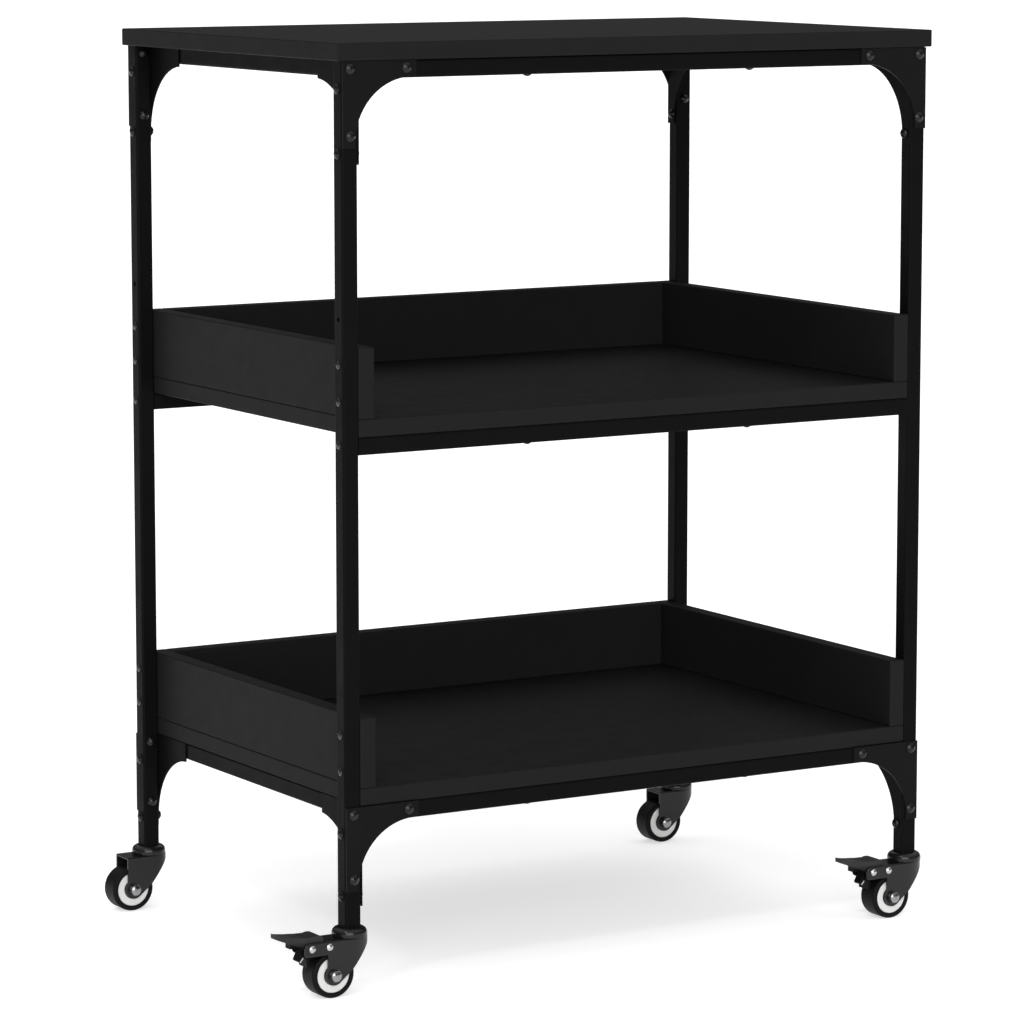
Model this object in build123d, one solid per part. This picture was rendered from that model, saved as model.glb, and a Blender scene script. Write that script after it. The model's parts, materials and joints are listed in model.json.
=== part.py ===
from build123d import *
import os

# Three-tier rolling trolley. Millimetres; +X to the right, the open front faces -Y, +Z up.
# Every piece is drawn about the middle of the tabletop, with the floor at z = 0. At export all
# pieces move right by half of what the brake pedals stick out on the left, so that the origin
# is on the floor in the middle of the whole footprint.

# Overall size
width = 600.0
depth = 400.0
height = 800.0

# Boards and tray walls
board_thick = 15.0
wall_high = 60.0
board_edge = 1.2
shelf_pitch = 312.0

# Square steel tube frame
tube = 15.0
tube_wall = 1.2
tube_corner = 2.0
side_overhang = 5.0
front_overhang = 3.0
end_plug_long = 3.0

# Casters
caster_high = 58.0
swivel_radius = 15.2
wheel_radius = 20.0
wheel_wide = 20.6
wheel_trail = 20.7
pedal_reach = 72.5

# Levels
top_z = height - board_thick
middle_z = height - shelf_pitch - board_thick
lower_z = middle_z - shelf_pitch
rail_tops = {"top": top_z, "middle": middle_z, "lower": lower_z}

# Plan positions
post_x = width / 2 - side_overhang - tube / 2
post_y = depth / 2 - front_overhang - tube / 2
frame_x = post_x + tube / 2
frame_y = post_y + tube / 2
inner_x = post_x - tube / 2
inner_y = post_y - tube / 2

corners = {
    "front_left": (-1, -1),
    "front_right": (1, -1),
    "rear_left": (-1, 1),
    "rear_right": (1, 1),
}

# Gusset plates: arms, corner arcs and bolt places, measured from the post's outer face
# and down from the top of the rail
plate_thick = 1.5
face_plate = {"along": 70.0, "down": 72.0, "rail_arm": 14.0, "post_arm": 12.0, "arc": 54.0}
side_plate = {"along": 68.5, "down": 85.5, "rail_arm": 17.0, "post_arm": 11.0, "arc": 61.5}
face_bolt_drops = (6.5, 62.0)
side_bolt_drops = (23.0, 76.5)
rail_bolt_inset = 53.5
plate_gap = 0.4

# Bolts, nuts and screws
# overlap is how far two shapes reach into each other before they are joined
overlap = 0.5
bolt_radius = 2.5
bolt_head_radius = 4.5
bolt_head_high = 2.8
nut_radius = 4.4
nut_high = 3.6
nut_bore_deep = 2.2
screw_radius = 2.0
screw_head_radius = 3.6
screw_head_high = 1.9
screw_bite = 12.0
wall_screw_rises = (15.0, 46.0)
rail_screw_drop = 6.0
spare_hole_rise = 83.5
board_screw_x = 112.5
board_screw_bite = 9.0
hole_gap = 0.1
slot_long = 3.6
slot_wide = 0.7
slot_deep = 0.7
crown_share = 0.75
tip_gap = 0.2

# Caster pieces, in the caster's own frame: swivel axis at x = y = 0, post's foot at z = 0,
# wheel trailing towards -X
stem_radius = 4.0
stem_long = 18.0
insert_long = 20.0
crown_top = -8.0
sheet = 1.5
crown_thick = 1.8
fork_half = 12.2
nose_reach = 16.5
nose_start = -5.0
fork_back = -27.0
lobe_radius = 8.5
cheek_round = 7.0
crown_round = 1.2
bell_lip = 0.5
swivel_gap = 0.3
kingpin_radius = 3.0
kingpin_head_radius = 5.5
kingpin_head_high = 2.2
bell_shoulder = 5.0
axle_z = wheel_radius - caster_high
axle_radius = 3.0
axle_end = 17.4
nut_flange_radius = 5.8
nut_flange_high = 1.0
seat_gap = 0.1
axle_head_radius = 4.9
hexagon_radius = 5.4
crown_radius = 4.5
crown_high = 1.7
crown_sink = 0.1
pin_in_nut = 3.0
running_gap = 0.05
core_radius = 15.6
core_half = 9.4
hub_radius = 7.0
hub_half = 10.4
core_round = 0.8
tyre_shoulder = 2.2
through = 20.0

# Brake
pivot_x = -41.8
pin_z = -13.0
spring_pin_x = -25.2
pin_radius = 1.5
rivet_head_radius = 3.1
rivet_head_high = 1.7
housing_back = -49.0
housing_low = -20.0
housing_round = 4.0
housing_lap = 8.0
mouth_front = -29.5
pedal_half = 10.2
tip_half = 6.0
pedal_skin = 1.6
tongue_half = 4.5
boss_radius = 4.4
boss_half = 7.0
stop_half = 4.0
stop_x = (-59.0, -50.0)
stop_z = (-12.4, -3.2)
pedal_root = -29.9
pedal_shoulder = -50.0
tip_round = 2.5

# Outlines in the caster's XZ plane
cheek_outline = (
    (fork_back, crown_top),
    (nose_reach, crown_top),
    (nose_reach, crown_top - 4.0),
    (-2.5, axle_z + 4.0),
    (-wheel_trail + 6.0, axle_z - 6.0),
    (-wheel_trail, axle_z),
    (fork_back, axle_z + 5.7),
)
lever_outline = (
    (-pedal_reach - 1.0, 1.8),
    (-69.5, 0.0),
    (-60.0, -1.6),
    (-48.0, -3.0),
    (-40.0, -3.2),
    (-36.5, -2.4),
    (-33.0, -2.6),
    (-30.6, -4.6),
    (-30.4, -10.0),
    (-36.0, -16.0),
    (-46.0, -16.0),
    (-50.0, -11.4),
    (-62.0, -6.8),
    (-pedal_reach - 1.0, -2.2),
)
shoe_outline = (
    (-45.5, -3.5),
    (-38.5, -3.5),
    (-38.5, -14.0),
    (-42.4, -16.5),
    (-41.9, -27.5),
    (-44.5, -29.5),
    (-45.6, -19.0),
)
tongue_outline = (
    (-40.0, -10.0),
    (-45.6, -19.0),
    (-50.4, -24.8),
    (-52.0, -23.4),
    (-47.2, -13.0),
    (-46.0, -8.0),
)
hollow_outline = (
    (-pedal_reach + 1.5, -1.4),
    (-60.0, -1.6 - pedal_skin),
    (-40.0, -3.2 - pedal_skin),
    (-28.0, -3.2 - pedal_skin),
    (-28.0, -40.0),
    (-pedal_reach + 1.5, -40.0),
)
leaf_outline = (
    (-47.18, -20.95),
    (-50.08, -24.45),
    (-49.23, -25.15),
    (-46.33, -21.65),
)

# The footprint runs from the left pedals' tips to the right forks' noses
footprint_shift = (pedal_reach - nose_reach) / 2


def span(x, y, z):
    """Box between pairs of limits."""
    sizes = [high - low for low, high in (x, y, z)]
    middles = [(low + high) / 2 for low, high in (x, y, z)]
    return Pos(*middles) * Box(*sizes)


def board(x, y, z):
    """Laminated board between pairs of limits, with all its edges eased."""
    return fillet(span(x, y, z).edges(), board_edge)


def square_tube(length):
    """Square tube with rounded corners, standing on z = 0."""
    outer = RectangleRounded(tube, tube, tube_corner)
    bore = RectangleRounded(tube - 2 * tube_wall, tube - 2 * tube_wall, tube_corner - tube_wall)
    return extrude(outer - bore, length)


def rod(radius, start, end, axis="Z"):
    """Plain cylinder along one axis between two places on it."""
    turn = {"X": Rot(0, 90, 0), "Y": Rot(-90, 0, 0), "Z": Rot(0, 0, 0)}[axis]
    return turn * Pos(0, 0, (start + end) / 2) * Cylinder(radius, end - start)


def dome(radius, high):
    """Button-shaped head standing on z = 0: a spherical cap above a short rim."""
    rise = crown_share * high
    ball = (radius**2 + rise**2) / (2 * rise)
    return rod(radius, 0, high) & Pos(0, 0, high - ball) * Sphere(ball)


def beam(ends, axis):
    """Square tube laid along X or Y between two places."""
    turn = {"X": Rot(0, 90, 0), "Y": Rot(-90, 0, 0)}[axis]
    return turn * Pos(0, 0, ends[0]) * square_tube(ends[1] - ends[0])


def bolt():
    """Round-head bolt: head above z = 0, shank below it, long enough for plate, tube and nut."""
    grip = tube + plate_thick
    head = dome(bolt_head_radius, bolt_head_high)
    shank = rod(bolt_radius, -grip - nut_bore_deep + tip_gap, overlap)
    return head + shank


def nut():
    """Domed cap nut standing on z = 0, with a blind bore."""
    return dome(nut_radius, nut_high) - rod(bolt_radius + hole_gap, -1, nut_bore_deep)


def screw(length):
    """Pan-head cross-slot screw: head above z = 0, shank below it."""
    head = dome(screw_head_radius, screw_head_high)
    slot = Box(slot_long, slot_wide, 2 * slot_deep) + Box(slot_wide, slot_long, 2 * slot_deep)
    head -= Pos(0, 0, screw_head_high) * slot
    return head + rod(screw_radius, -length, overlap)


def facing(x, y, z, direction):
    """Place and turn for something drawn along +Z so that it points along a direction."""
    turns = {
        "+X": Rot(0, 90, 0),
        "-X": Rot(0, -90, 0),
        "+Y": Rot(-90, 0, 0),
        "-Y": Rot(90, 0, 0),
        "-Z": Rot(180, 0, 0),
    }
    return Pos(x, y, z) * turns[direction]


def side_name(axis, sign):
    """Direction name such as +X for an axis letter and a sign."""
    return ("+" if sign > 0 else "-") + axis


# ---- Boards and trays ----

def tabletop():
    return board((-width / 2, width / 2), (-depth / 2, depth / 2), (top_z, height))


def tray(bottom):
    """Shelf board with a wall on its left, right and rear; the front stays open."""
    floor_z = bottom + board_thick
    rim_z = floor_z + wall_high
    wall_x = inner_x - board_thick
    pieces = {
        "board": board((-inner_x, inner_x), (-frame_y, frame_y), (bottom, floor_z)),
        "left_wall": board((-inner_x, -wall_x), (-frame_y, frame_y), (floor_z, rim_z)),
        "right_wall": board((wall_x, inner_x), (-frame_y, frame_y), (floor_z, rim_z)),
        "rear_wall": board((-wall_x, wall_x), (frame_y - board_thick, frame_y), (floor_z, rim_z)),
    }
    for sign, name in ((-1, "left_wall"), (1, "right_wall")):
        for y in (-post_y, post_y):
            for rise in wall_screw_rises:
                pilot = rod(screw_radius + hole_gap, -0.5, screw_bite + 0.5)
                place = facing(sign * inner_x, y, floor_z + rise, side_name("X", -sign))
                pieces[name] -= place * pilot
    return pieces


def board_pilots(rail_top):
    """Pilot holes in the underside of a board, over the front and rear rails."""
    return [
        Pos(x, y, rail_top) * rod(screw_radius + hole_gap, -0.5, board_screw_bite + 0.5)
        for x in (-board_screw_x, board_screw_x)
        for y in (-post_y, post_y)
    ]


# ---- Frame ----

def post(sign_x, sign_y):
    """Upright with its bolt and screw holes."""
    tube_solid = Pos(0, 0, caster_high) * square_tube(top_z - caster_high)
    holes = []
    for rail_top in (top_z, lower_z):
        for drop in face_bolt_drops:
            holes.append(Pos(0, 0, rail_top - drop) * rod(bolt_radius + hole_gap, -tube, tube, "Y"))
        for drop in side_bolt_drops:
            holes.append(Pos(0, 0, rail_top - drop) * rod(bolt_radius + hole_gap, -tube, tube, "X"))
    for bottom in (middle_z, lower_z):
        for rise in wall_screw_rises:
            z = bottom + board_thick + rise
            holes.append(Pos(0, 0, z) * rod(screw_radius + hole_gap, -tube, tube, "X"))
    holes.append(Pos(0, 0, middle_z - rail_screw_drop) * rod(screw_radius + hole_gap, -tube, tube, "X"))
    spare_z = middle_z + board_thick + spare_hole_rise
    spare = rod(screw_radius + hole_gap, 0, tube)
    holes.append(facing(0, 0, spare_z, side_name("X", sign_x)) * spare)
    for hole in holes:
        tube_solid -= hole
    return Pos(sign_x * post_x, sign_y * post_y, 0) * tube_solid


def cross_rail(rail_top, sign_y, bolted):
    """Front or rear rail between two posts, with holes for the board screws."""
    rail = beam((-inner_x, inner_x), "X")
    for x in (-board_screw_x, board_screw_x):
        rail -= Pos(x, 0, 0) * rod(screw_radius + hole_gap, -tube, tube)
    for sign in (-1, 1):
        if bolted:
            place = Pos(sign * (post_x - rail_bolt_inset), 0, tube / 2 - face_bolt_drops[0])
            rail -= place * rod(bolt_radius + hole_gap, -tube, tube, "Y")
        else:
            plug = Box(end_plug_long, tube - 2 * tube_wall, tube - 2 * tube_wall)
            rail += Pos(sign * (inner_x - end_plug_long / 2), 0, 0) * plug
            screw_hole = facing(sign * inner_x, 0, tube / 2 - rail_screw_drop, side_name("X", -sign))
            rail -= screw_hole * rod(screw_radius + hole_gap, -1, screw_bite + 1)
    return Pos(0, sign_y * post_y, rail_top - tube / 2) * rail


def side_rail(rail_top, sign_x):
    """Left or right rail, between the front and rear rails and just inside the side gussets."""
    x = sign_x * (inner_x - plate_thick - tube / 2)
    return Pos(x, 0, rail_top - tube / 2) * beam((-inner_y, inner_y), "Y")


def gusset(plate, notched):
    """Plate in the XZ plane: post's outer face at x = 0, rail's top at z = 0, body towards +X and -Z."""
    outline = Pos(plate["along"] / 2, -plate["down"] / 2) * Rectangle(plate["along"], plate["down"])
    cut = Rectangle(4 * plate["arc"], 4 * plate["arc"])
    cut = fillet(cut.vertices().sort_by(Axis.X)[:2].sort_by(Axis.Y)[-1], plate["arc"])
    cut = Pos(plate["post_arm"] + 2 * plate["arc"], -plate["rail_arm"] - 2 * plate["arc"]) * cut
    outline -= cut
    outline -= Rectangle(2 * plate_gap, 4 * plate["down"])
    outline -= Rectangle(4 * plate["along"], 2 * plate_gap)
    if notched:
        outline -= Rectangle(2 * (tube + plate_gap), 2 * (tube + plate_gap))
    return extrude(Plane.XZ * outline, plate_thick)


def face_gusset(rail_top, sign_x, sign_y):
    """Gusset on the outer face of a front or rear corner, drilled for its three bolts."""
    plate = gusset(face_plate, notched=False)
    edge = tube / 2
    for x, drop in (
        (edge, face_bolt_drops[0]),
        (edge, face_bolt_drops[1]),
        (edge + rail_bolt_inset, face_bolt_drops[0]),
    ):
        plate -= Pos(x, 0, -drop) * rod(bolt_radius + hole_gap, -tube, tube, "Y")
    if sign_x > 0:
        plate = mirror(plate, Plane.YZ)
    if sign_y > 0:
        plate = mirror(plate, Plane.XZ)
    return Pos(sign_x * frame_x, sign_y * frame_y, rail_top) * plate


def side_gusset(rail_top, sign_x, sign_y):
    """Gusset between a post's inner face and the end of a side rail, notched round the cross rail."""
    plate = gusset(side_plate, notched=True)
    for drop in side_bolt_drops:
        plate -= Pos(tube / 2, 0, -drop) * rod(bolt_radius + hole_gap, -tube, tube, "Y")
    plate = Rot(0, 0, 90) * plate
    if sign_y > 0:
        plate = mirror(plate, Plane.XZ)
    if sign_x > 0:
        plate = mirror(plate, Plane.YZ)
    return Pos(sign_x * inner_x, sign_y * frame_y, rail_top) * plate


def bolt_places():
    """Every gusset bolt: where the head's underside sits, which way it points, and the nut's seat."""
    places = []
    for sign_x, sign_y in corners.values():
        for rail_top in (top_z, lower_z):
            outer = sign_y * (frame_y + plate_thick)
            inner = sign_y * inner_y
            spots = [(post_x, drop) for drop in face_bolt_drops]
            spots.append((post_x - rail_bolt_inset, face_bolt_drops[0]))
            for x, drop in spots:
                head = (sign_x * x, outer, rail_top - drop, side_name("Y", sign_y))
                seat = (sign_x * x, inner, rail_top - drop, side_name("Y", -sign_y))
                places.append((head, seat))
            for drop in side_bolt_drops:
                z = rail_top - drop
                head = (sign_x * frame_x, sign_y * post_y, z, side_name("X", sign_x))
                seat_x = sign_x * (inner_x - plate_thick)
                seat = (seat_x, sign_y * post_y, z, side_name("X", -sign_x))
                places.append((head, seat))
    return places


def side_screws():
    """Pan-head screws through the posts: into the tray walls and into the middle rails' ends."""
    length = tube + screw_bite
    solids = []
    for sign_x, sign_y in corners.values():
        heights = [
            bottom + board_thick + rise
            for bottom in (middle_z, lower_z)
            for rise in wall_screw_rises
        ]
        heights.append(middle_z - rail_screw_drop)
        for z in heights:
            place = facing(sign_x * frame_x, sign_y * post_y, z, side_name("X", sign_x))
            solids.append(place * screw(length))
    return solids


def board_screws():
    """Screws from below through the front and rear rails into the boards."""
    length = tube + board_screw_bite
    return [
        facing(x, y, rail_top - tube, "-Z") * screw(length)
        for rail_top in rail_tops.values()
        for x in (-board_screw_x, board_screw_x)
        for y in (-post_y, post_y)
    ]


# ---- Caster pieces ----

def post_insert():
    """Square plug in a post's foot that takes the caster's stem."""
    inside = tube - 2 * tube_wall - 2 * hole_gap
    plug = extrude(RectangleRounded(inside, inside, tube_corner - tube_wall), insert_long)
    return plug - rod(stem_radius + running_gap, -1, insert_long + 1)


def caster_stem():
    """Stem, bell-shaped race housing and kingpin, riveted into one: the part that doesn't swivel."""
    bell_low = crown_top + swivel_gap
    bell = fillet(rod(swivel_radius, bell_low, 0).edges().group_by(Axis.Z)[-1], bell_shoulder)
    bell = fillet(bell.edges().group_by(Axis.Z)[0], bell_lip)
    head_top = crown_top - crown_thick - swivel_gap
    pin = rod(kingpin_radius, head_top - overlap, bell_low + overlap)
    head = rod(kingpin_head_radius, head_top - kingpin_head_high, head_top)
    return bell + rod(stem_radius, -1, stem_long) + pin + head


def fork_side(braked):
    """Outline of the fork's cheek, seen from the side."""
    cheek = make_face(Polyline(*cheek_outline, close=True))
    nose, knee = (
        cheek.vertices().sort_by_distance((x, z))[0]
        for x, z in (cheek_outline[2], cheek_outline[3])
    )
    cheek = fillet([nose, knee], cheek_round)
    cheek += Pos(-wheel_trail, axle_z) * Circle(lobe_radius)
    if braked:
        long = fork_back - housing_back + housing_lap
        housing = Rectangle(long, crown_top - housing_low)
        housing = fillet(housing.vertices().group_by(Axis.X)[0], housing_round)
        cheek += Pos(housing_back + long / 2, (crown_top + housing_low) / 2) * housing
    return cheek


def fork_plan(half_width, reach, back):
    """Outline of the fork from above: parallel cheeks and a long rounded nose."""
    nose = Pos(nose_start, 0) * Ellipse(reach - nose_start, half_width)
    long = nose_start - back
    cheeks = Pos(nose_start - long / 2, 0) * Rectangle(long, 2 * half_width)
    return nose + cheeks


def fork(braked):
    """Pressed-steel fork, hollow below its crown; a braked one carries the pedal's housing."""
    low = -caster_high
    body = extrude(Plane.XZ * fork_side(braked), 2 * fork_half, both=True)
    body &= extrude(Pos(0, 0, low) * fork_plan(fork_half, nose_reach, 2 * housing_back), -2 * low)
    body = fillet(body.faces().sort_by(Axis.Z)[-1].edges(), crown_round)
    hollow_top = crown_top - crown_thick
    hollow = fork_plan(fork_half - sheet, nose_reach - sheet, 3 * housing_back)
    body -= extrude(Pos(0, 0, low) * hollow, hollow_top - low)
    if braked:
        mouth_half = fork_half - sheet
        body -= span((2 * housing_back, mouth_front), (-mouth_half, mouth_half), (low, 1))
    body -= rod(kingpin_radius + running_gap, low, 0)
    body -= Pos(-wheel_trail, 0, axle_z) * rod(axle_radius + running_gap, -through, through, "Y")
    if braked:
        for x in (pivot_x, spring_pin_x):
            body -= Pos(x, 0, pin_z) * rod(pin_radius + running_gap, -through, through, "Y")
    return body


def axle():
    """Axle bolt with a domed head, and its domed hex nut, as two solids."""
    seat = fork_half + seat_gap
    cap_high = axle_end - seat - nut_flange_high
    flange = rod(nut_flange_radius, 0, nut_flange_high)
    head = flange + Pos(0, 0, nut_flange_high) * dome(axle_head_radius, cap_high)
    pin = facing(0, seat, 0, "+Y") * head
    pin += rod(axle_radius, -seat - pin_in_nut, seat + overlap, "Y")
    hexagon_high = cap_high - crown_high + crown_sink
    hexagon = Pos(0, 0, nut_flange_high) * extrude(RegularPolygon(hexagon_radius, 6), hexagon_high)
    crown = Pos(0, 0, axle_end - seat - crown_high) * dome(crown_radius, crown_high)
    hex_nut = facing(0, -seat, 0, "-Y") * (flange + hexagon + crown)
    hex_nut -= rod(axle_radius + running_gap, -seat - pin_in_nut - tip_gap, 0, "Y")
    place = Pos(-wheel_trail, 0, axle_z)
    return [place * pin, place * hex_nut]


def wheel_core():
    """Moulded wheel centre with a running bore and raised hubs."""
    disc = rod(core_radius - running_gap, -core_half, core_half, "Y")
    disc = fillet(disc.edges(), core_round)
    core = disc + rod(hub_radius, -hub_half, hub_half, "Y")
    core -= rod(axle_radius + running_gap, -through, through, "Y")
    return Pos(-wheel_trail, 0, axle_z) * core


def tyre():
    """Tread ring with rounded shoulders."""
    half = wheel_wide / 2
    ring = fillet(rod(wheel_radius, -half, half, "Y").edges(), tyre_shoulder)
    ring -= rod(core_radius, -through, through, "Y")
    return Pos(-wheel_trail, 0, axle_z) * ring


def brake_rivets():
    """Pedal pivot and spring pin across the housing, with domed heads."""
    solids = []
    for x in (pivot_x, spring_pin_x):
        rivet = rod(pin_radius, -fork_half - overlap, fork_half + overlap, "Y")
        for sign in (-1, 1):
            head = facing(0, sign * fork_half, 0, side_name("Y", sign))
            rivet += head * dome(rivet_head_radius, rivet_head_high)
        solids.append(Pos(x, 0, pin_z) * rivet)
    return solids


def pedal_plan(inset):
    """Pedal from above: wide in the housing, narrower at its rounded tip."""
    root = pedal_root - inset
    reach = -pedal_reach + inset
    half = pedal_half - inset
    tip = tip_half - inset
    outline = make_face(
        Polyline(
            (root, -half),
            (root, half),
            (pedal_shoulder, half),
            (reach, tip),
            (reach, -tip),
            (pedal_shoulder, -half),
            close=True,
        )
    )
    return fillet(outline.vertices().group_by(Axis.X)[0], tip_round)


def slab(outline, half):
    """Flat piece drawn in the caster's XZ plane, half its width to either side."""
    return extrude(Plane.XZ * make_face(Polyline(*outline, close=True)), half, both=True)


def brake_pedal():
    """Pressed foot lever with side skirts, the shoe for the tyre, a stop pad and the release tongue."""
    body = slab(lever_outline, 2 * pedal_half)
    body &= extrude(Pos(0, 0, -3 * through) * pedal_plan(0), 4 * through)
    hollow = slab(hollow_outline, 2 * pedal_half)
    body -= hollow & extrude(Pos(0, 0, -3 * through) * pedal_plan(pedal_skin), 4 * through)
    body += Pos(pivot_x, 0, pin_z) * rod(boss_radius, -boss_half, boss_half, "Y")
    body += span(stop_x, (-stop_half, stop_half), stop_z)
    body += slab(shoe_outline, boss_half)
    body += slab(tongue_outline, tongue_half)
    return body - Pos(pivot_x, 0, pin_z) * rod(pin_radius + running_gap, -through, through, "Y")


def brake_leaf():
    """Bright spring strip along the wheel side of the release tongue."""
    return slab(leaf_outline, tongue_half)


# ---- Assembly ----

def build():
    nodes = {"tabletop": [tabletop()]}
    for level in ("middle", "lower"):
        for name, piece in tray(rail_tops[level]).items():
            nodes[f"{level}_{name}"] = [piece]
    for name, rail_top in (("tabletop", top_z), ("middle_board", middle_z), ("lower_board", lower_z)):
        for pilot in board_pilots(rail_top):
            nodes[name][0] -= pilot

    for corner, signs in corners.items():
        nodes[f"post_{corner}"] = [post(*signs)]
    for level, rail_top in rail_tops.items():
        bolted = level != "middle"
        for side, sign in (("front", -1), ("rear", 1)):
            nodes[f"{level}_{side}_rail"] = [cross_rail(rail_top, sign, bolted)]
        if bolted:
            for side, sign in (("left", -1), ("right", 1)):
                nodes[f"{level}_{side}_rail"] = [side_rail(rail_top, sign)]
                nodes[f"{level}_{side}_gussets"] = [side_gusset(rail_top, sign, y) for y in (-1, 1)]
            for side, sign in (("front", -1), ("rear", 1)):
                nodes[f"{level}_{side}_gussets"] = [face_gusset(rail_top, x, sign) for x in (-1, 1)]

    nodes["gusset_bolts"] = [facing(*head) * bolt() for head, seat in bolt_places()]
    nodes["gusset_nuts"] = [facing(*seat) * nut() for head, seat in bolt_places()]
    nodes["side_screws"] = side_screws()
    nodes["board_screws"] = board_screws()

    feet = {
        corner: Pos(sign_x * post_x, sign_y * post_y, caster_high)
        for corner, (sign_x, sign_y) in corners.items()
    }
    nodes["post_inserts"] = [foot * post_insert() for foot in feet.values()]
    nodes["caster_stems"] = [foot * caster_stem() for foot in feet.values()]
    for corner, foot in feet.items():
        braked = corner.startswith("front")
        nodes[f"fork_{corner}"] = [foot * fork(braked)]
        nodes[f"axle_{corner}"] = [foot * piece for piece in axle()]
        nodes[f"wheel_core_{corner}"] = [foot * wheel_core()]
        nodes[f"tyre_{corner}"] = [foot * tyre()]
        if braked:
            nodes[f"brake_pedal_{corner}"] = [foot * brake_pedal()]
            nodes[f"brake_leaf_{corner}"] = [foot * brake_leaf()]
            nodes[f"brake_rivets_{corner}"] = [foot * rivet for rivet in brake_rivets()]
    return nodes


os.makedirs("parts", exist_ok=True)
for node, solids in build().items():
    shifted = [Pos(footprint_shift, 0, 0) * solid for solid in solids]
    shape = shifted[0] if len(shifted) == 1 else Compound(children=shifted)
    export_step(shape, f"parts/{node}.step")

print("origin shift", footprint_shift)
for corner, (sign_x, sign_y) in corners.items():
    x = sign_x * post_x + footprint_shift
    y = sign_y * post_y
    print(corner, "swivel", (x, y), "axle", (x - wheel_trail, y, wheel_radius))
    print(corner, "pedal pivot", (x + pivot_x, y, caster_high + pin_z))
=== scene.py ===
import json
import math

import bmesh
import bpy
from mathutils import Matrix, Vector


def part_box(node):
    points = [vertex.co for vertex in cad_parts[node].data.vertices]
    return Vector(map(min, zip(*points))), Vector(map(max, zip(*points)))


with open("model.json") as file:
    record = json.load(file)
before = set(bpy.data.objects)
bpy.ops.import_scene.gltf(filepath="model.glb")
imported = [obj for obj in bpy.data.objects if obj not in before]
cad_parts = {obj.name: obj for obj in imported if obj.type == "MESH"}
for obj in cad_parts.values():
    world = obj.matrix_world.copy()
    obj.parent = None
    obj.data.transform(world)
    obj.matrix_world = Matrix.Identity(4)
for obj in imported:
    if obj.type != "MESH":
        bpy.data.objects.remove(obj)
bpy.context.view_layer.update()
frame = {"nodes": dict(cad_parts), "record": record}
scene = bpy.context.scene
nodes = frame["nodes"]

# Sizes in metres. The rings are distances from the axle.
hub_edge = (0.0088, 0.0090)
rim_edge = (0.0152, 0.0154)
# Painted shade on the nut's flange begins at these distances from the axle
nut_edge = (0.0044, 0.0050)
# Heights, not distances: below them the pedal is painted darker, as painted shade
pedal_shade = (0.047, 0.052)

# Shared by every finish: noise scales of the broad tone and the dust, and how the edge wear and painted
# edge highlight show
cloud_scale = 38.0
dust_scale = 55.0
speck_share = 0.35
wear_polish = 0.12
dust_bump = 0.3
coat_roughness = 0.06
flat_dot = 0.995
sharp_dot = 0.86

# Studio: strengths, and the sky's level low down and overhead
floor_reach = 60.0
floor_white = 0.86
floor_glow = 0.55
sky_low = 0.085
sky_overhead = 0.95
sky_seen = 1.0
sky_rise = (0.15, 0.95)

# Camera fitted to the photo, in metres, radians and millimetres. The fit measured from the middle
# of the tabletop, which is at (tabletop_offset, 0, total_height) in the frame.
tabletop_offset = 0.028
total_height = 0.8
camera_place = (-2.1001 + tabletop_offset, -3.47794, total_height + 0.14177)
camera_turn = 0.54034
camera_pitch = 0.14064
camera_lens = 159.99
camera_reach = 200.0

# ---- Node helpers ----


class Graph:
    """A material's node tree with short ways to add the nodes used here."""

    def __init__(self, name):
        self.material = bpy.data.materials.new(name)
        self.material.use_nodes = True
        self.tree = self.material.node_tree
        self.shader = self.tree.nodes["Principled BSDF"]
        coords = self.tree.nodes.new("ShaderNodeTexCoord")
        self.place = coords.outputs["Object"]

    def add(self, kind, **settings):
        node = self.tree.nodes.new(kind)
        for key, value in settings.items():
            setattr(node, key, value)
        return node

    def link(self, source, target):
        if isinstance(source, bpy.types.NodeSocket):
            self.tree.links.new(source, target)
        else:
            target.default_value = source

    def math(self, operation, a, b=0.0, clamp=False):
        node = self.add("ShaderNodeMath", operation=operation, use_clamp=clamp)
        self.link(a, node.inputs[0])
        self.link(b, node.inputs[1])
        return node.outputs[0]

    def noise(self, scale, detail=3.0, roughness=0.55):
        node = self.add("ShaderNodeTexNoise")
        self.link(self.place, node.inputs["Vector"])
        node.inputs["Scale"].default_value = scale
        node.inputs["Detail"].default_value = detail
        node.inputs["Roughness"].default_value = roughness
        return node.outputs["Fac"]

    def remap(self, value, low, high, to_low, to_high):
        node = self.add("ShaderNodeMapRange")
        self.link(value, node.inputs["Value"])
        for key, number in zip(("From Min", "From Max", "To Min", "To Max"), (low, high, to_low, to_high)):
            node.inputs[key].default_value = number
        return node.outputs["Result"]

    def mix(self, factor, a, b):
        node = self.add("ShaderNodeMix", data_type="RGBA")
        self.link(factor, node.inputs["Factor"])
        self.link(a, node.inputs["A"])
        self.link(b, node.inputs["B"])
        return node.outputs["Result"]

    def edges(self, radius):
        """0 on flat faces, rising to 1 on sharp outer and inner edges."""
        bevel = self.add("ShaderNodeBevel", samples=4)
        bevel.inputs["Radius"].default_value = radius
        plain = self.add("ShaderNodeNewGeometry")
        dot = self.add("ShaderNodeVectorMath", operation="DOT_PRODUCT")
        self.link(bevel.outputs[0], dot.inputs[0])
        self.link(plain.outputs["Normal"], dot.inputs[1])
        return self.remap(dot.outputs["Value"], flat_dot, sharp_dot, 0.0, 1.0)

    def bump(self, height, strength, distance):
        node = self.add("ShaderNodeBump")
        node.inputs["Strength"].default_value = strength
        node.inputs["Distance"].default_value = distance
        self.link(height, node.inputs["Height"])
        self.link(node.outputs[0], self.shader.inputs["Normal"])


def rgb(value, tint=(1, 1, 1)):
    """Opaque colour: a linear grey, times a tint."""
    return (value * tint[0], value * tint[1], value * tint[2], 1)


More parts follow.
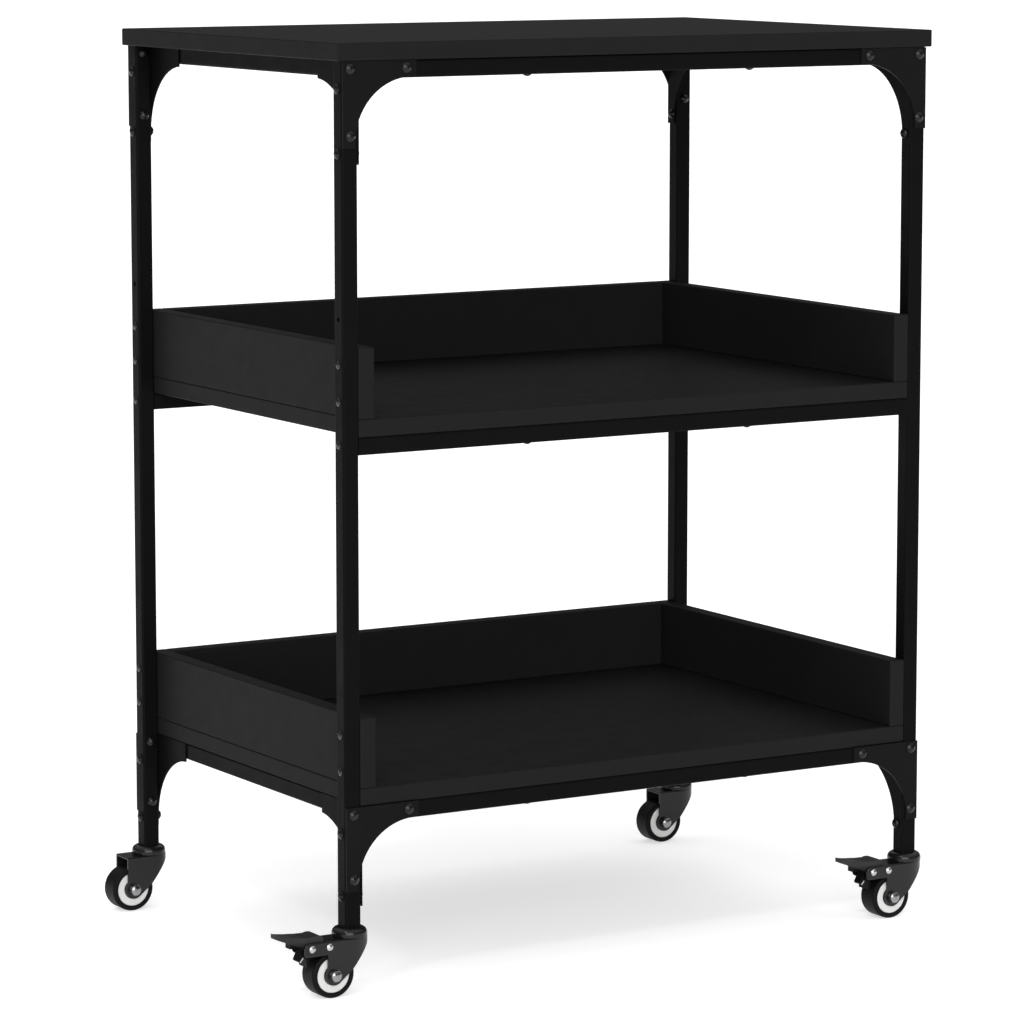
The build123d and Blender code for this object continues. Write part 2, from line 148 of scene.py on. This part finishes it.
def finish(name, colour, spread, rough, grain, gloss=0.5, metal=0.0, edge_wear_and_highlight=None, coat=0.0):
    """Everyday surface with lighter edges, partly wear and partly painted highlight.

    colour is the middle tone, spread how far it drifts, rough the (low, high) roughness, grain the
    (noise scale, bump strength, bump depth in metres), gloss the specular level, coat the clear
    coat's weight, edge_wear_and_highlight the (edge colour, edge width in metres, share)."""
    g = Graph(name)
    scale, strength, depth = grain
    cloud = g.noise(cloud_scale, 4.0)
    fine = g.noise(scale, 3.0)
    dust = g.noise(dust_scale, 5.0)
    dark = tuple(c * (1 - spread) for c in colour[:3]) + (1,)
    light = tuple(c * (1 + spread) for c in colour[:3]) + (1,)
    tone = g.mix(g.remap(cloud, 0.3, 0.7, 0.0, 1.0), dark, light)
    speck = g.remap(fine, 0.35, 0.75, 0.0, 1.0)
    tone = g.mix(g.math("MULTIPLY", speck, speck_share), tone, light)
    patches = g.math("ADD", g.math("MULTIPLY", dust, 0.6), g.math("MULTIPLY", fine, 0.4))
    roughness = g.remap(patches, 0.35, 0.65, *rough)
    if edge_wear_and_highlight:
        edge_colour, width, share = edge_wear_and_highlight
        # The lighter edge colour is partly wear and partly a painted highlight along the edges
        mask = g.math("MULTIPLY", g.edges(width), g.remap(dust, 0.42, 0.62, 0.35, 1.0))
        mask = g.math("MULTIPLY", mask, share, clamp=True)
        tone = g.mix(mask, tone, edge_colour)
        roughness = g.math("SUBTRACT", roughness, g.math("MULTIPLY", mask, wear_polish), clamp=True)
    g.link(tone, g.shader.inputs["Base Color"])
    g.link(roughness, g.shader.inputs["Roughness"])
    g.shader.inputs["Metallic"].default_value = metal
    g.shader.inputs["Specular IOR Level"].default_value = gloss
    g.shader.inputs["Coat Weight"].default_value = coat
    g.shader.inputs["Coat Roughness"].default_value = coat_roughness
    g.bump(g.math("ADD", fine, g.math("MULTIPLY", dust, dust_bump)), strength, depth)
    return g


def from_axle(g):
    """Distance from the nearest wheel's axle, seen along the axle."""
    split = g.add("ShaderNodeSeparateXYZ")
    g.link(g.place, split.inputs[0])
    across = g.math("SUBTRACT", split.outputs["X"], (wheel_left + wheel_right) / 2)
    across = g.math("SUBTRACT", g.math("ABSOLUTE", across), (wheel_right - wheel_left) / 2)
    up = g.math("SUBTRACT", split.outputs["Z"], wheel_centre.z)
    return g.math("SQRT", g.math("ADD", g.math("MULTIPLY", across, across), g.math("MULTIPLY", up, up)))


def recolour(g, share, other):
    """Blend the finish's own colour towards another one."""
    own = g.shader.inputs["Base Color"].links[0].from_socket
    g.link(g.mix(share, own, other), g.shader.inputs["Base Color"])


def wheel_finish(black):
    """White moulded ring between a black hub and a black rim."""
    g = finish("wheel plastic", rgb(0.62, (1, 1, 0.985)), spread=0.03, rough=(0.26, 0.38),
               grain=(900.0, 0.2, 0.0001))
    radius = from_axle(g)
    past_hub = g.remap(radius, *hub_edge, 0.0, 1.0)
    inside_rim = g.remap(radius, *rim_edge, 1.0, 0.0)
    ring = g.math("MULTIPLY", past_hub, inside_rim)
    recolour(g, g.math("SUBTRACT", 1.0, ring), black)
    return g


def nut_finish(painted_flange_shade):
    """Bright zinc, with painted shade on the flange below the nut and the bolt's head."""
    g = finish("axle zinc", rgb(0.28, (1, 1, 1.02)), spread=0.12, rough=(0.16, 0.28),
               grain=(1600.0, 0.2, 0.0001), metal=1.0, edge_wear_and_highlight=(rgb(0.50), 0.0004, 0.6))
    # Painted shade: from 4.4 to 5 mm out from the axle the zinc blends to the dark flange colour
    recolour(g, g.remap(from_axle(g), *nut_edge, 0.0, 1.0), painted_flange_shade)
    return g


def pedal_finish(shaded):
    """Black nylon, darker on the brake's shoe and tongue below the lever: painted shade."""
    g = finish("pedal nylon", rgb(0.0310), spread=0.15, rough=(0.34, 0.48),
               grain=(1200.0, 0.4, 0.0002), gloss=0.05, edge_wear_and_highlight=(rgb(0.04), 0.0006, 0.6))
    split = g.add("ShaderNodeSeparateXYZ")
    g.link(g.place, split.inputs[0])
    # Painted shade: below pedal_shade the nylon blends to the shaded colour
    recolour(g, g.remap(split.outputs["Z"], *pedal_shade, 1.0, 0.0), shaded)
    return g


def middle(node):
    low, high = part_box(node)
    return (low + high) / 2


# ---- Materials ----

wheel_centre = middle("tyre_front_left")
wheel_left = wheel_centre.x
wheel_right = middle("tyre_front_right").x

# The edge colours below are lighter edges: partly wear, partly painted highlight
laminate = finish("black laminate", rgb(0.0114), spread=0.035, rough=(0.44, 0.54),
                  grain=(900.0, 0.16, 0.0001), gloss=0.036, edge_wear_and_highlight=(rgb(0.030), 0.0010, 0.5))
powder = finish("black powder coat", rgb(0.0040), spread=0.08, rough=(0.36, 0.48),
                grain=(1100.0, 0.25, 0.0001), gloss=0.028, edge_wear_and_highlight=(rgb(0.016), 0.0008, 0.5))
plate = finish("gusset coat", rgb(0.0065), spread=0.08, rough=(0.34, 0.44),
               grain=(1000.0, 0.22, 0.0001), gloss=0.040, edge_wear_and_highlight=(rgb(0.021), 0.0006, 0.5))
bolt = finish("black bolt", rgb(0.0050), spread=0.15, rough=(0.16, 0.26),
              grain=(1500.0, 0.2, 0.0001), gloss=0.27, edge_wear_and_highlight=(rgb(0.017), 0.0004, 0.4))
screw = finish("pan screw", rgb(0.0085), spread=0.15, rough=(0.14, 0.22),
               grain=(1500.0, 0.2, 0.0001), gloss=0.55, edge_wear_and_highlight=(rgb(0.03), 0.0004, 0.5))
plug = finish("nylon plug", rgb(0.009), spread=0.15, rough=(0.4, 0.5),
              grain=(1200.0, 0.3, 0.0001), gloss=0.3)
lacquer = finish("caster lacquer", rgb(0.0075), spread=0.12, rough=(0.14, 0.24),
                 grain=(1100.0, 0.15, 0.0001), gloss=0.21, edge_wear_and_highlight=(rgb(0.045), 0.0005, 0.5), coat=0.16)
zinc = finish("bright zinc", rgb(0.48, (1, 1, 1.02)), spread=0.10, rough=(0.18, 0.30),
              grain=(1600.0, 0.2, 0.0001), metal=1.0, edge_wear_and_highlight=(rgb(0.70), 0.0004, 0.6))
# rgb(0.07) is the painted shade on the nut's flange
axle_zinc = nut_finish(rgb(0.07))
rubber = finish("tread rubber", rgb(0.0042), spread=0.12, rough=(0.42, 0.55),
                grain=(1300.0, 0.5, 0.0002), gloss=0.08)
# rgb(0.0040) is the painted shade on the pedal's lower parts
nylon = pedal_finish(rgb(0.0040))
white = wheel_finish(rgb(0.009))

by_slot = {
    "laminate_board": laminate,
    "frame_tube": powder,
    "gusset_plate": plate,
    "black_bolt": bolt,
    "pan_screw": screw,
    "insert_plastic": plug,
    "caster_race": lacquer,
    "fork_paint": lacquer,
    "axle_steel": axle_zinc,
    "wheel_plastic": white,
    "tread_rubber": rubber,
    "pedal_plastic": nylon,
    "spring_steel": zinc,
    "rivet_steel": zinc,
}
for part in frame["record"]["subparts"]:
    piece = nodes[part["node"]]
    piece.data.materials.clear()
    surface = by_slot[part["material_slot"]]
    # The plates on the left and right sides share the frame tube's darker coat
    if part["node"].endswith(("left_gussets", "right_gussets")):
        surface = powder
    piece.data.materials.append(surface.material)

# ---- Studio ----


def floor():
    mesh = bpy.data.meshes.new("floor")
    build = bmesh.new()
    bmesh.ops.create_grid(build, x_segments=2, y_segments=2, size=floor_reach)
    build.to_mesh(mesh)
    build.free()
    ground = bpy.data.objects.new("floor", mesh)
    scene.collection.objects.link(ground)
    paper = bpy.data.materials.new("pale floor")
    paper.use_nodes = True
    shader = paper.node_tree.nodes["Principled BSDF"]
    shader.inputs["Base Color"].default_value = rgb(floor_white)
    shader.inputs["Emission Color"].default_value = (1, 1, 1, 1)
    shader.inputs["Emission Strength"].default_value = floor_glow
    shader.inputs["Roughness"].default_value = 0.9
    shader.inputs["Specular IOR Level"].default_value = 0.1
    mesh.materials.append(paper)


def sun(name, azimuth, elevation, strength, spread):
    """Soft light from a direction in degrees: azimuth 0 is the front side (-Y), 90 is +X."""
    lamp = bpy.data.lights.new(name, "SUN")
    lamp.energy = strength
    lamp.angle = math.radians(spread)
    holder = bpy.data.objects.new(name, lamp)
    a, e = math.radians(azimuth), math.radians(elevation)
    source = Vector((math.sin(a) * math.cos(e), -math.cos(a) * math.cos(e), math.sin(e)))
    holder.rotation_euler = source.to_track_quat("Z", "Y").to_euler()
    scene.collection.objects.link(holder)


def sky():
    """Studio surround: dim at eye level, bright overhead, and plain white where the camera sees it."""
    world = bpy.data.worlds.new("studio")
    world.use_nodes = True
    tree = world.node_tree
    shade = tree.nodes["Background"]
    coords = tree.nodes.new("ShaderNodeTexCoord")
    split = tree.nodes.new("ShaderNodeSeparateXYZ")
    tree.links.new(coords.outputs["Generated"], split.inputs[0])
    rise = tree.nodes.new("ShaderNodeMapRange")
    rise.interpolation_type = "SMOOTHSTEP"
    limits = (*sky_rise, sky_low, sky_overhead)
    for key, number in zip(("From Min", "From Max", "To Min", "To Max"), limits):
        rise.inputs[key].default_value = number
    tree.links.new(split.outputs["Z"], rise.inputs["Value"])
    path = tree.nodes.new("ShaderNodeLightPath")
    blend = tree.nodes.new("ShaderNodeMix")
    tree.links.new(rise.outputs["Result"], blend.inputs["A"])
    blend.inputs["B"].default_value = sky_seen
    tree.links.new(path.outputs["Is Camera Ray"], blend.inputs["Factor"])
    tree.links.new(blend.outputs["Result"], shade.inputs["Strength"])
    shade.inputs["Color"].default_value = (1, 1, 1, 1)
    scene.world = world


def camera():
    lens = bpy.data.cameras.new("camera")
    lens.sensor_width = 36.0
    lens.lens = camera_lens
    lens.clip_end = camera_reach
    holder = bpy.data.objects.new("camera", lens)
    holder.location = camera_place
    holder.rotation_euler = (math.pi / 2 - camera_pitch, 0, -camera_turn)
    scene.collection.objects.link(holder)
    scene.camera = holder


floor()
sky()
sun("key", azimuth=-56, elevation=48, strength=0.28, spread=6)
sun("bay light", azimuth=-27, elevation=12, strength=2.4, spread=50)
camera()
scene.view_settings.view_transform = "Standard"
